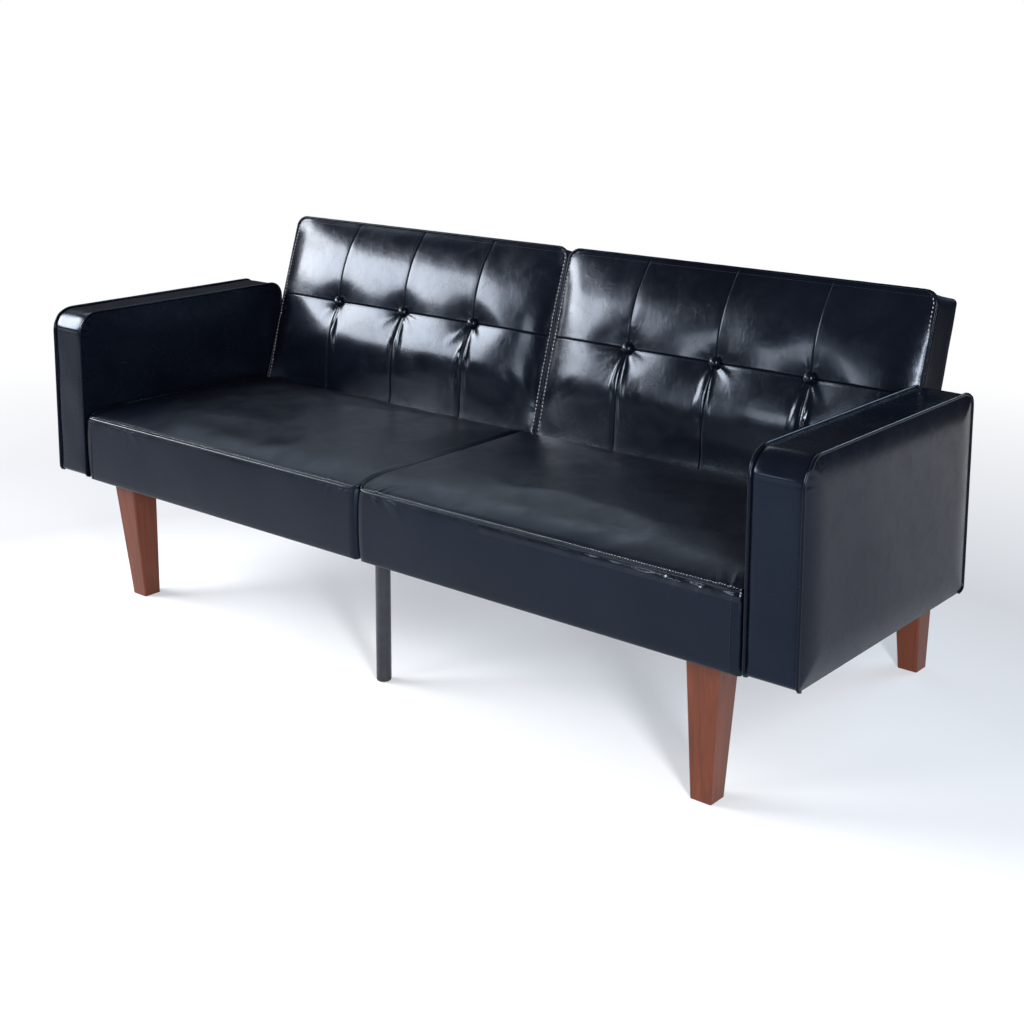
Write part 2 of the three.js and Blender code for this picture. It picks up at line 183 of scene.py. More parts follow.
def make_object(name, vertices, faces, material, sharp_angle=40.0):
    mesh = bpy.data.meshes.new(name)
    mesh.from_pydata(np.asarray(vertices).tolist(), [], [[int(k) for k in face] for face in faces])
    work = bmesh.new()
    work.from_mesh(mesh)
    bmesh.ops.recalc_face_normals(work, faces=work.faces)
    work.to_mesh(mesh)
    work.free()
    mesh.shade_smooth()
    mesh.set_sharp_from_angle(angle=math.radians(sharp_angle))
    return link_object(name, mesh, material)


def link_object(name, mesh, material):
    mesh.materials.append(material)
    piece = bpy.data.objects.new(name, mesh)
    bpy.context.scene.collection.objects.link(piece)
    return piece


def second_material(piece, material, faces):
    """Gives the faces marked 1 a second material."""
    piece.data.materials.append(material)
    piece.data.polygons.foreach_set("material_index", faces)


def bands(sides, first, last):
    """Quads between consecutive rings of `sides` vertices, from the ring at index first to the ring at last."""
    return [face for ring in range(first, last, sides) for face in band(ring, ring + sides, sides)]


def band(first, second, sides, shift=0):
    """Quads between two rings of vertices, from the index where each ring starts."""
    return [(first + k, first + (k + 1) % sides, second + (k + 1 + shift) % sides, second + (k + shift) % sides)
            for k in range(sides)]


def closed_form(front, rings, rear):
    """Vertices and faces of a front grid, a band through the given rings, and a rear grid."""
    rows, columns = front.shape[:2]
    border = grid_border(rows, columns)
    count = rows * columns
    ring = 2 * count + np.arange(len(border))
    loops = [border, *(ring + i * len(border) for i in range(len(rings))), border + count]
    faces = [grid_faces(rows, columns), grid_faces(rows, columns, count)[:, ::-1]]
    for loop, following in zip(loops, loops[1:]):
        faces.append(np.stack([loop, np.roll(loop, -1), np.roll(following, -1), following], axis=-1))
    return np.concatenate([front.reshape(-1, 3), rear.reshape(-1, 3), *rings]), np.concatenate(faces)


def tube(path, radii, closed, sides=12):
    """Vertices and faces of a round tube along a path of points."""
    if closed:
        tangents = unit(np.roll(path, -1, axis=0) - np.roll(path, 1, axis=0))
    else:
        tangents = unit(np.gradient(path, axis=0))
    normals = [unit(np.cross(tangents[0], [0.31, 0.52, 0.79]))]
    for tangent in tangents:
        normals.append(unit(normals[-1] - tangent * np.dot(normals[-1], tangent)))
    normals = np.array(normals[1:])
    binormals = np.cross(tangents, normals)
    around = np.array(circle(sides))
    ring = around[:, :1] * normals[:, None] + around[:, 1:] * binormals[:, None]
    radii = np.broadcast_to(radii, (len(path),))
    vertices = (path[:, None] + ring * radii[:, None, None]).reshape(-1, 3)
    tip = len(vertices)
    last = tip - sides
    faces = bands(sides, 0, last)
    if closed:
        return vertices, faces + band(last, 0, sides, int(np.argmax(ring[0] @ ring[-1, 0])))
    ends = path[[0, -1]] + [[-0.5], [0.5]] * tangents[[0, -1]] * radii[[0, -1], None]
    for k in range(sides):
        faces += [(tip, (k + 1) % sides, k), (tip + 1, last + k, last + (k + 1) % sides)]
    return np.concatenate([vertices, ends]), faces


def resample(path, pitch, closed=False):
    """Points about `pitch` apart along a path."""
    if closed:
        path = np.concatenate([path, path[:1]])
    lengths = path_lengths(path)
    count = max(2, int(round(lengths[-1] / pitch)))
    places = np.linspace(0.0, lengths[-1], count, endpoint=not closed)
    return np.stack([np.interp(places, lengths, path[:, k]) for k in range(3)], axis=1)


def path_lengths(path):
    return np.concatenate([[0.0], np.cumsum(np.linalg.norm(np.diff(path, axis=0), axis=1))])


def stitches(name, rows, material, pitch=6.5 * MM, length=4.6 * MM, radius=0.75 * MM):
    """One object of small rounded stitches along each (path, normals) row, half sunk in the leather."""
    vertices, faces = [], []
    start, sides = 0, 6
    sections = ((-0.5, 0.25), (-0.36, 0.8), (0.0, 1.0), (0.36, 0.8), (0.5, 0.25))  # (along, swell)
    for path, normal in rows:
        points = resample(path, pitch)
        tangents = unit(np.gradient(points, axis=0))
        normal = unit(np.broadcast_to(normal, points.shape))
        across = unit(np.cross(tangents, normal))
        for point, tangent, up, side in zip(points, tangents, normal, across):
            vertices += [point + tangent * along * length + (side * cos + up * sin) * radius * swell
                         for along, swell in sections for cos, sin in circle(sides)]
            following = start + sides * len(sections)
            faces += bands(sides, start, following - sides)
            faces += [tuple(range(start, start + sides))[::-1], tuple(range(following - sides, following))]
            start = following
    mesh = bpy.data.meshes.new(name)
    mesh.from_pydata(np.array(vertices).tolist(), [], faces)
    mesh.shade_smooth()
    return link_object(name, mesh, material)


# The cloth's stiffness, the frames simulated, and how far a point may move
STIFFNESS, FRAMES, FARTHEST = 16.0, 18, 9 * MM


def inflate(front, rear, pressure, growth, bend, share, held=None):
    """Cloth simulation of a closed pad, pinned at its border, its rear and the front points in `held`.

    The front moves by `share` of what the simulation moved it, and by no more than FARTHEST.
    """
    pad = make_object("simulated_pad", *closed_form(front, [], rear), LEATHER)
    pinned = np.zeros(front.shape[:2], dtype=bool) if held is None else held.copy()
    pinned[[0, -1], :] = pinned[:, [0, -1]] = True
    pinned = np.flatnonzero(np.stack([pinned, np.ones_like(pinned)]))
    pad.vertex_groups.new(name="pins").add(pinned.tolist(), 1.0, "REPLACE")
    cloth = pad.modifiers.new("cloth", "CLOTH")
    settings = dict(quality=6, mass=0.25, tension_stiffness=STIFFNESS, compression_stiffness=STIFFNESS,
                    shear_stiffness=STIFFNESS * 0.5, bending_stiffness=bend, use_pressure=True,
                    uniform_pressure_force=pressure, vertex_group_mass="pins", pin_stiffness=1.0,
                    shrink_min=-growth)
    for key, value in settings.items():
        setattr(cloth.settings, key, value)
    cloth.settings.effector_weights.gravity = 0.0
    cloth.collision_settings.use_collision = False
    scene = bpy.context.scene
    cloth.point_cache.frame_start = 1
    cloth.point_cache.frame_end = FRAMES
    for step in range(1, FRAMES + 1):
        scene.frame_set(step)
    evaluated = pad.evaluated_get(bpy.context.evaluated_depsgraph_get())
    result = np.empty(len(evaluated.data.vertices) * 3)
    evaluated.data.vertices.foreach_get("co", result)
    moved = result[:front.size].reshape(front.shape) - front
    mesh = pad.data
    bpy.data.objects.remove(pad)
    bpy.data.meshes.remove(mesh)
    scene.frame_set(1)
    size = np.linalg.norm(moved, axis=-1, keepdims=True)
    return front + moved * share * np.minimum(1.0, FARTHEST / np.maximum(size, 1e-9))


PIPE_PITCH = 7 * MM


def pipe_radii(radius, count, seed, wavelength):
    """Radii along a piping whose thickness wanders a little."""
    return radius * (1.0 + 0.04 * ripple(np.arange(count) * PIPE_PITCH, 0.0, seed, wavelength))


# ---- Materials ----

class Shader:
    """A small helper that adds and links shader nodes."""

    def __init__(self, name):
        self.material = bpy.data.materials.new(name)
        self.material.use_nodes = True
        self.tree = self.material.node_tree
        self.surface = self.tree.nodes["Principled BSDF"]
        self.coordinates = self.tree.nodes.new("ShaderNodeTexCoord").outputs["Object"]

    def put(self, socket, value):
        """Links an input socket to an output, or sets its value."""
        if isinstance(value, bpy.types.NodeSocket):
            self.tree.links.new(value, socket)
        else:
            socket.default_value = value

    def set(self, node=None, **values):
        """Fills a node's inputs by name, those of the surface if no node is given."""
        for key, value in values.items():
            self.put((node or self.surface).inputs[key.replace("_", " ")], value)

    def node(self, kind, **values):
        node = self.tree.nodes.new(kind)
        self.set(node, **values)
        return node

    def maths(self, operation, *values):
        node = self.node("ShaderNodeMath")
        node.operation = operation
        for socket, value in zip(node.inputs, values):
            self.put(socket, value)
        return node.outputs[0]

    def mapped(self, scale, rotation=(0, 0, 0)):
        return self.node("ShaderNodeMapping", Vector=self.coordinates, Scale=scale, Rotation=rotation).outputs[0]

    def noise(self, scale, detail=3.0, roughness=0.5, distortion=0.0, vector=None):
        return self.node("ShaderNodeTexNoise", Vector=vector or self.coordinates, Scale=scale, Detail=detail,
                         Roughness=roughness, Distortion=distortion).outputs["Fac"]

    def cells(self, scale):
        node = self.node("ShaderNodeTexVoronoi", Vector=self.coordinates, Scale=scale)
        node.feature = "DISTANCE_TO_EDGE"
        return node.outputs["Distance"]

    def fine_lines(self, scale, mask_scale):
        """Sparse hair-thin wandering lines, as 0 on a line and 1 off it."""
        field = self.noise(scale, detail=4.0, roughness=0.55, distortion=1.6)
        from_line = self.maths("ABSOLUTE", self.maths("SUBTRACT", field, 0.5))
        line = self.remap(from_line, 0.0, 1.0, 0.0, 0.010)
        mask = self.remap(self.noise(mask_scale, detail=2.0), 1.0, 0.0, 0.50, 0.60)
        return self.maths("MAXIMUM", line, mask)

    def ramp(self, value, *stops):
        node = self.node("ShaderNodeValToRGB", Fac=value)
        elements = node.color_ramp.elements
        while len(elements) < len(stops):
            elements.new(0.5)
        for element, (position, colour) in zip(elements, stops):
            element.position = position
            element.color = (*colour, 1.0)
        return node.outputs["Color"]

    def remap(self, value, low, high, from_low=0.0, from_high=1.0):
        return self.node("ShaderNodeMapRange", Value=value, From_Min=from_low, From_Max=from_high,
                         To_Min=low, To_Max=high).outputs["Result"]

    def bumps(self, *layers):
        """Chains (height, strength, distance) bump layers onto the surface normal."""
        below = {}
        for height, strength, distance in layers:
            node = self.node("ShaderNodeBump", Height=height, Strength=strength, Distance=distance, **below)
            below = {"Normal": node.outputs["Normal"]}
        self.set(**below)


def leather_material(name, smooth, rough, coat, shine, tint=(0.62, 0.75, 0.96), crease=0.10):
    shader = Shader(name)
    tone = shader.ramp(shader.noise(6.0, detail=4.0),
                       (0.3, (0.0018, 0.0027, 0.0058)), (0.75, (0.0032, 0.0046, 0.0092)))
    patches = shader.noise(16.0, detail=7.0, roughness=0.62, distortion=0.6)
    shader.set(Base_Color=tone, Roughness=shader.remap(patches, smooth - 0.03, rough + 0.05, 0.28, 0.72),
               Specular_IOR_Level=shine, Specular_Tint=(*tint, 1.0),
               Coat_Weight=coat, Coat_Roughness=0.1, Coat_IOR=1.45)
    waves = shader.noise(9.0, detail=2.0, roughness=0.45)
    mottle = shader.noise(38.0, detail=3.0, roughness=0.5, distortion=0.8)
    creases = shader.noise(70.0, detail=6.0, roughness=0.62, distortion=0.9,
                           vector=shader.mapped((1.0, 1.0, 0.4), (0.25, 0.1, 0.6)))
    sparse = shader.remap(creases, 0.0, 1.0, 0.52, 0.72)
    lines = shader.fine_lines(11.0, 26.0)
    shader.bumps((waves, 0.09, 0.006), (mottle, 0.06, 0.003), (sparse, crease, 0.0012), (lines, crease, 0.0008),
                 (shader.cells(620.0), 0.05, 0.0003))
    return shader.material


def speckled_material(name, dark, light, roughness, shine, scale=400.0, relief=(1500.0, 0.4, 0.0003)):
    """A finely speckled colour; `relief` is the scale, strength and depth of its bumps."""
    shader = Shader(name)
    shader.set(Base_Color=shader.ramp(shader.noise(scale), (0.3, dark), (0.7, light)),
               Roughness=roughness, Specular_IOR_Level=shine)
    shader.bumps((shader.noise(relief[0]), *relief[1:]))
    return shader.material


def leg_wood_material():
    shader = Shader("stained_wood")
    stretched = shader.mapped((34.0, 34.0, 1.6), (0.03, -0.02, 0.0))
    figure = shader.noise(2.2, detail=6.0, roughness=0.6, distortion=1.2, vector=stretched)
    colour = shader.ramp(figure, (0.25, (0.062, 0.0125, 0.004)), (0.5, (0.094, 0.020, 0.0065)),
                         (0.75, (0.125, 0.029, 0.010)))
    pores = shader.noise(9.0, detail=5.0, roughness=0.7, vector=shader.mapped((120.0, 120.0, 4.0)))
    shader.set(Base_Color=colour, Roughness=shader.remap(pores, 0.32, 0.5), Specular_IOR_Level=0.3,
               Coat_Weight=0.1, Coat_Roughness=0.25)
    shader.bumps((figure, 0.08, 0.001), (pores, 0.12, 0.0005))
    return shader.material


def timber_material():
    shader = Shader("raw_timber")
    rings = shader.noise(2.0, detail=5.0, distortion=1.0, vector=shader.mapped((1.8, 30.0, 30.0)))
    colour = shader.ramp(rings, (0.3, (0.30, 0.19, 0.10)), (0.7, (0.50, 0.36, 0.22)))
    shader.set(Base_Color=colour, Roughness=0.75)
    shader.bumps((rings, 0.2, 0.001))
    return shader.material


def metal_material(name, dark, light, metallic, rough_low, rough_high):
    shader = Shader(name)
    wear = shader.noise(60.0, detail=4.0)
    shader.set(Base_Color=shader.ramp(wear, (0.35, dark), (0.7, light)), Metallic=metallic,
               Roughness=shader.remap(shader.noise(140.0, detail=4.0), rough_low, rough_high))
    shader.bumps((shader.noise(900.0, detail=2.0), 0.08, 0.0003))
    return shader.material


def cloth_material(name, dark, light, scale=1400.0):
    shader = Shader(name)
    fibres = shader.noise(scale, detail=3.0, vector=shader.mapped((1.0, 0.3, 1.0), (0.0, 0.0, 0.7)))
    shader.set(Base_Color=shader.ramp(fibres, (0.3, dark), (0.7, light)), Roughness=0.92,
               Sheen_Weight=0.25, Sheen_Roughness=0.5)
    shader.bumps((fibres, 0.35, 0.0006))
    return shader.material


LEATHER = leather_material("black_leather", 0.19, 0.26, 0.08, 0.28)
ARM_LEATHER = leather_material("arm_leather", 0.21, 0.29, 0.0, 0.25, (0.50, 0.67, 1.0), 0.045)
SEAT_LEATHER = leather_material("satin_leather", 0.32, 0.40, 0.0, 0.24, (0.54, 0.70, 1.0), 0.06)
# A dull, barely reflective copy of the leather: painted shade in the back cushions' sewn channels, beside their
# side edges and on their boxed sides
PAINTED_SHADE_LEATHER = leather_material("painted_shade_leather", 0.36, 0.46, 0.0, 0.05)
# Copies of the leather that reflect much less, so the back and arm pipings look less lit: painted shade; their
# lower roughness is the pipings' own gloss
BACK_PIPING_PAINTED_SHADE = leather_material("back_piping_painted_shade", 0.16, 0.22, 0.0, 0.07)
ARM_PIPING_PAINTED_SHADE = leather_material("arm_piping_painted_shade", 0.14, 0.20, 0.0, 0.16)
# Light grey thread: its pale colour paints the glints that black stitches catch; its shine is the thread's own
THREAD = speckled_material("thread_painted_glints", (0.10, 0.107, 0.125), (0.26, 0.275, 0.31), 0.2, 1.0)
SEAM_THREAD = speckled_material("seam_thread", (0.002, 0.002, 0.003), (0.006, 0.006, 0.008), 0.5, 0.3)
BLACK_STEEL = metal_material("black_steel", (0.007, 0.009, 0.015), (0.014, 0.017, 0.026), 0.0, 0.30, 0.42)
RUBBER = speckled_material("black_rubber", (0.010, 0.010, 0.010), (0.022, 0.022, 0.022), 0.7, 0.5,
                           80.0, (700.0, 0.15, 0.0004))
UNDERSIDE = cloth_material("underside_cloth", (0.006, 0.006, 0.007), (0.02, 0.02, 0.022))

SLOT_MATERIALS = {
    "leather": LEATHER,
    "leg_wood": leg_wood_material(),
    "frame_timber": timber_material(),
    "wrapped_timber": UNDERSIDE,
    "black_steel": BLACK_STEEL,
    "zinc_steel": metal_material("zinc_steel", (0.42, 0.43, 0.45), (0.6, 0.61, 0.63), 1.0, 0.28, 0.42),
    "foot_rubber": RUBBER,
    "underside_cloth": UNDERSIDE,
    "webbing": cloth_material("webbing_cloth", (0.12, 0.11, 0.09), (0.3, 0.28, 0.24), 900.0),
}


for part in frame["record"]["subparts"]:
    for place in frame["nodes"][part["node"]].material_slots:
        place.material = SLOT_MATERIALS[part["material_slot"]]


def finish_piece(piece, body, *replaced, slot="leather", fill=None):
    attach(piece, body)
    if replaced:
        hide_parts(*replaced)


# ---- Backs ----

EDGE_DEPTH = -64 * MM  # depth of the piped edge in front of the pivot
SHELL_REAR = 16 * MM
FOAM_REAR = -22 * MM
BACK_BOTTOM = -36 * MM
BACK_TOP = 430.3 * MM
BACK_INNER = 2 * MM
BACK_OUTER = 840 * MM
CROWN = 38 * MM  # how far the cushion's face stands forward of its piped edge
BUTTON_LEVEL = 22 * MM
BUTTON_COLUMNS = (209 * MM, 418 * MM, 626 * MM)
BUTTON_ROW = 238.6 * MM
DIMPLE = 13.5 * MM  # how far each button pulls the face in
DIMPLE_SPREAD = {-1: (0.5, 0.4, 0.45), 1: (0.45, 0.55, 0.85)}  # share of it that is broad, inner button first
CORNER = 26 * MM
REAR_CORNER = 8 * MM
BOX_RINGS = (  # share of the depth, and how many millimetres the side draws in there
    (0.03, 0.2), (0.12, 0.7), (0.3, 1.2), (0.55, 1.5), (0.8, 1.0), (0.95, 0.3), (1.0, 1.2))
BUTTON_PROFILE = (  # share of the radius, and share of the height
    (0.2, 0.985), (0.4, 0.93), (0.6, 0.82), (0.78, 0.65), (0.9, 0.46),
    (0.98, 0.24), (1.0, 0.05), (0.96, -0.14), (0.86, -0.3), (0.7, -0.42))


def back_point(x, depth, slope):
    """World places of points in a back's own frame."""
    return points_at(x, PIVOT.y + depth * math.cos(LEAN) + slope * math.sin(LEAN),
                     PIVOT.z - depth * math.sin(LEAN) + slope * math.cos(LEAN))


def back_crown(across, up):
    """How far the plain pillow stands forward, before buttons and seams."""
    edge = depth_inside(across, BACK_INNER, BACK_OUTER)
    sides = 0.5 * pillow(edge, 75 * MM, 2.4) + 0.5 * pillow(edge, 240 * MM, 2.0)
    top = pillow(BACK_TOP - up, 175 * MM, 2.3)
    low = 0.16 * pillow(up - BACK_BOTTOM, 60 * MM) + 0.84 * smoothstep(0.03, 0.16, up)
    return CROWN * sides * top * low


def back_dimples(across, up, side):
    """Depth that the buttons and the row between them pull in."""
    from_row = up - BUTTON_ROW
    valley = 4.5 * MM * np.exp(-np.abs(from_row / (26 * MM)) ** 1.3)
    inside = smoothstep(0.06, 0.16, across) * smoothstep(0.06, 0.16, BACK_OUTER - across)
    total = valley * inside
    for column, spread in zip(BUTTON_COLUMNS, DIMPLE_SPREAD[side]):
        distance = np.hypot(across - column, from_row * 0.9)
        narrow = np.exp(-(distance / (27 * MM)) ** 1.25)
        total = total + DIMPLE * ((1.0 - spread) * narrow + spread * bump(distance, 66 * MM))
    return total


def back_outline(x, up, top_corner=CORNER):
    """The points' x with the outline's top corners rounded, and its bottom corners slightly so."""
    inset = np.maximum(rounding(top_corner, BACK_TOP - up), rounding(CORNER * 0.5, up - BACK_BOTTOM))
    return pull_ends_in(x, BACK_INNER, BACK_OUTER, inset, 0.82)


def simulated_face(side, seed, fine_x, fine_up):
    """(x, forward, slope) of the inflated face at the fine grid lines, simulated on a coarser grid."""
    lines_x = np.linspace(BACK_INNER, BACK_OUTER, 106)
    lines_up = np.linspace(BACK_BOTTOM, BACK_TOP, 60)
    x, up = np.meshgrid(lines_x, lines_up)
    forward = back_crown(x, up) - back_dimples(x, up, side)
    front = points_at(x, -forward, up)
    rear = points_at(x, 40 * MM, up)
    front[..., 1] += 0.35 * MM * ripple(x, up, seed, 100 * MM) * pillow(forward, 12 * MM)
    buttoned = np.min([np.hypot(x - column, up - BUTTON_ROW) for column in BUTTON_COLUMNS], axis=0) < 9 * MM
    front = inflate(front, rear, pressure=2.2, growth=-0.002, bend=3.0, share=0.6, held=buttoned)
    return sample_grid(front, lines_up, lines_x, fine_up, fine_x)


def seam_grooves(across, up):
    """Narrow grooves along the four sewn lines."""
    from_row = up - BUTTON_ROW
    inside = pillow(depth_inside(across, BACK_INNER, BACK_OUTER), 20 * MM)
    fade_top = pillow(BACK_TOP - up, 12 * MM)
    change = -1.9 * MM * bump(from_row, 1.1 * MM) * inside
    for column in BUTTON_COLUMNS:
        away = across - column
        change -= (1.9 * MM * bump(away, 1.0 * MM) + 0.5 * MM * bump(away, 8 * MM)) * fade_top
    return change


def pulled_folds(across, up, seed):
    """Folds that the buttons pull: some beside the lower seams, and a fan of short ones all round."""
    change = np.zeros_like(across)
    rng = np.random.default_rng(seed)
    from_row = up - BUTTON_ROW
    for column in BUTTON_COLUMNS:
        away = across - column
        for _ in range(5):
            lane = rng.uniform(5, 16) * MM * rng.choice((-1.0, 1.0))
            middle, half = rng.uniform(-100, -55) * MM, rng.uniform(40, 70) * MM
            along = (from_row - middle) / half
            lens = smoothstep(1.0, 0.3, np.abs(along))
            ridge = bump(away - lane * (1.0 - 0.45 * along), rng.uniform(2.6, 4.4) * MM)
            change += rng.uniform(1.6, 2.8) * MM * ridge * lens
        fan = [(rng.uniform(195, 345), rng.uniform(45, 95), rng.uniform(1.0, 1.9)) for _ in range(7)]
        fan += [(rng.uniform(25, 155), rng.uniform(28, 50), rng.uniform(0.6, 1.1)) for _ in range(6)]
        for degrees, reach, strength in fan:
            direction = math.radians(degrees)
            forth = away * math.cos(direction) + from_row * math.sin(direction)
            aside = from_row * math.cos(direction) - away * math.sin(direction)
            bend = rng.uniform(-0.0012, 0.0012) / MM
            width = (2.2 + 0.06 * np.clip(forth / MM, 0, 100)) * MM
            span = smoothstep(9 * MM, 22 * MM, forth) * smoothstep(reach * MM, reach * 0.3 * MM, forth)
            change += strength * MM * bump((aside - bend * forth * np.abs(forth)) / width, 1.0) * span
    return change


def side_puckers(across, up, seed):
    """Small puckers beside the stitching of the two side seams."""
    edge = depth_inside(across, BACK_INNER, BACK_OUTER)
    return 0.8 * MM * bump(edge - 11 * MM, 4.5 * MM) * ripple(up, 0.0, seed, 27 * MM)


def back_face_points(side, seed):
    fine_x = graded_lines(BACK_INNER, BACK_OUTER, BUTTON_COLUMNS, 0.8 * MM, 6.5 * MM)
    fine_up = graded_lines(BACK_BOTTOM, BACK_TOP, (BUTTON_ROW,), 0.8 * MM, 6.5 * MM)
    face = simulated_face(side, seed, fine_x, fine_up)
    across, up = np.meshgrid(fine_x, fine_up)
    detail = seam_grooves(across, up) + pulled_folds(across, up, seed + 5) + side_puckers(across, up, seed + 6)
    x = face[..., 0] + (back_outline(across, up) - across)
    depth = EDGE_DEPTH + face[..., 1] - detail
    return across, up, back_point(side * x, depth, face[..., 2])


def shade_creases(piece, across, up):
    """Painted shade down in the sewn channels, on the strips beside the side edges and on the boxed sides and
    rear: these faces take a dull, barely reflective copy of the leather.
    """
    middle_x, middle_up = ((grid[:-1, :-1] + grid[1:, 1:]) / 2 for grid in (across, up))
    away = np.min([np.abs(middle_x - column) for column in BUTTON_COLUMNS], axis=0)
    edge = depth_inside(middle_x, BACK_INNER, BACK_OUTER)
    crease = (np.minimum(away, np.abs(middle_up - BUTTON_ROW)) < 1.7 * MM) | (edge < 5.2 * MM)
    shaded = np.ones(len(piece.data.polygons), dtype=np.int32)
    shaded[:crease.size] = crease.reshape(-1)
    second_material(piece, PAINTED_SHADE_LEATHER, shaded)


def back_cushion(name, side, seed):
    """The tufted cushion with its boxed sides, open below and behind for the frame."""
    across, up, front = back_face_points(side, seed)
    border = grid_border(*across.shape)
    edge_x, rear_edge_x, edge_up = (grid.reshape(-1)[border] for grid in (
        back_outline(across, up), back_outline(across, up, REAR_CORNER), up))

    rear_x = np.interp(across, (BACK_INNER, BACK_OUTER), (BACK_INNER + 9.6 * MM, BACK_OUTER - 9.6 * MM))
    rear_up = np.interp(up, (BACK_BOTTOM, BACK_TOP), (BACK_BOTTOM + 0.5 * MM, BACK_TOP - 17.8 * MM))
    rear = back_point(side * rear_x, FOAM_REAR, rear_up)

    deepest = np.where(edge_up > BACK_BOTTOM + 1 * MM, SHELL_REAR, FOAM_REAR + 2 * MM)
    outward_x = outward_sign(edge_x, BACK_INNER, BACK_OUTER, 0.385)
    outward_up = outward_sign(edge_up, BACK_BOTTOM, BACK_TOP, 0.205)
    rings = []
    for share, pull in BOX_RINGS:
        depth = EDGE_DEPTH + (deepest - EDGE_DEPTH) * share
        wave = 0.5 * MM * ripple(edge_x + edge_up, depth, seed + 9, 90 * MM) * min(1.0, share * 4)
        inward = pull * MM + wave
        ring_x = edge_x + (rear_edge_x - edge_x) * share - outward_x * inward
        rings.append(back_point(side * ring_x, depth, edge_up - outward_up * inward))
    rings.append(back_point(side * rear_x.reshape(-1)[border], deepest, rear_up.reshape(-1)[border]))
    piece = make_object(f"{name}_back_cushion", *closed_form(front, rings, rear), LEATHER, sharp_angle=55.0)
    shade_creases(piece, across, up)
    finish_piece(piece, f"{name}_back", f"{name}_back_pad", fill=0.8)
    return across, up, front, border


def back_piping(name, side, front, border):
    points = resample(front.reshape(-1, 3)[border], PIPE_PITCH, closed=True)
    points = points - BACK_DEPTH_AXIS * 0.6 * MM
    points[:, 0] = side * np.clip(points[:, 0] * side, BACK_INNER + 1.2 * MM, BACK_OUTER - 1.0 * MM)
    radii = pipe_radii(3.1 * MM, len(points), 77 + side, 45 * MM)
    # The piping takes a copy of the leather that reflects less: painted shade.
    finish_piece(make_object(f"{name}_back_piping", *tube(points, radii, closed=True), BACK_PIPING_PAINTED_SHADE),
                 f"{name}_back")


def back_stitching(name, across, up, front):
    """Top stitching inside the piping, and finer stitches in the sewn channels."""
    forward = -BACK_DEPTH_AXIS
    columns, heights = across[0], up[:, 0]
    low, high = nearest(heights, BACK_BOTTOM + 12 * MM), nearest(heights, BACK_TOP - 10 * MM)
    first, last = nearest(columns, BACK_INNER + 7 * MM), nearest(columns, BACK_OUTER - 7 * MM)
    middle = nearest(heights, BUTTON_ROW - 4.5 * MM)
    side_rows = [(front[low:high, column] + forward * 0.35 * MM, forward) for column in (first, last)]
    seam_rows = [(front[row, first:last], forward) for row in (high, middle)]
    for x in BUTTON_COLUMNS:
        column = nearest(columns, x + 4.0 * MM)
        seam_rows += [(front[low:middle - 8, column], forward), (front[middle + 8:high, column], forward)]
    finish_piece(stitches(f"{name}_seam_stitching", seam_rows, SEAM_THREAD, radius=0.6 * MM), f"{name}_back")
    # The stitches beside the piping take the thread with painted glints.
    piece = stitches(f"{name}_back_stitching", side_rows, THREAD, 8.0 * MM, 5.4 * MM, 1.1 * MM)
    finish_piece(piece, f"{name}_back")


def covered_button(name, side, index, column, seed):
    """A domed leather button whose cover is gathered in small pleats under its rim."""
    radius, height, sides = 12.5 * MM, 11 * MM, 40
    base_depth = EDGE_DEPTH - BUTTON_LEVEL - 1.5 * MM
    phase = np.random.default_rng(seed).uniform(0, 2 * math.pi)
    vertices = [back_point(side * column, base_depth - height, BUTTON_ROW)]
    for share, level in BUTTON_PROFILE:
        for k, (cos, sin) in enumerate(circle(sides)):
            pleat = 1.0 - 0.025 * (1 - level) * (1 + math.cos(13 * 2 * math.pi * k / sides + phase))
            spread = radius * share * pleat
            vertices.append(back_point(side * column + spread * cos, base_depth - height * level,
                                       BUTTON_ROW + spread * sin))
    last, end = len(vertices) - sides, len(vertices)
    vertices.append(back_point(side * column, base_depth + height * 0.42, BUTTON_ROW))
    faces = [(0, 1 + k, 1 + (k + 1) % sides) for k in range(sides)]
    faces += [(a, d, c, b) for a, b, c, d in bands(sides, 1, last)]
    faces += [(end, last + (k + 1) % sides, last + k) for k in range(sides)]
    piece = make_object(f"{name}_button_{index}", vertices, faces, LEATHER, sharp_angle=80.0)
    finish_piece(piece, f"{name}_back", f"{name}_back_button_{index}")


def back_rear_panel(name, side, seed):
    """Taut leather panel stapled over the rear of the frame."""
    low, high = 20.2 * MM, BACK_TOP - 6 * MM
    inner, outer = BACK_INNER + 4 * MM, BACK_OUTER - 4 * MM
    x, up = np.meshgrid(*(graded_lines(*ends, (), 3 * MM, 16 * MM) for ends in ((inner, outer), (low, high))))
    edge = np.minimum(depth_inside(x, inner, outer), depth_inside(up, low, high))
    x = pull_ends_in(x, inner, outer, rounding(REAR_CORNER, high - up), 0.82)
    swell = 3.2 * MM * pillow(edge, 16 * MM, 2.0)
    swell = swell + 1.0 * MM * ripple(x, up, seed, 210 * MM) * pillow(edge, 60 * MM)
    swell = swell + 0.5 * MM * ripple(x * 0.4, up, seed + 1, 45 * MM) * bump(edge - 20 * MM, 22 * MM)
    rear = back_point(side * x, SHELL_REAR + 2.2 * MM + swell, up)
    front = back_point(side * x, SHELL_REAR + 0.4 * MM, up)
    piece = make_object(f"{name}_rear_cover", *closed_form(rear, [], front), LEATHER, sharp_angle=50.0)
    finish_piece(piece, f"{name}_back", f"{name}_back_panel")


def build_back(name, side):
    seed = 31 if side > 0 else 32
    across, up, front, border = back_cushion(name, side, seed)
    back_piping(name, side, front, border)
    back_stitching(name, across, up, front)
    for index, column in enumerate(BUTTON_COLUMNS, start=1):
        covered_button(name, side, index, column, seed + index)
    back_rear_panel(name, side, seed + 20)


# ---- Seats ----

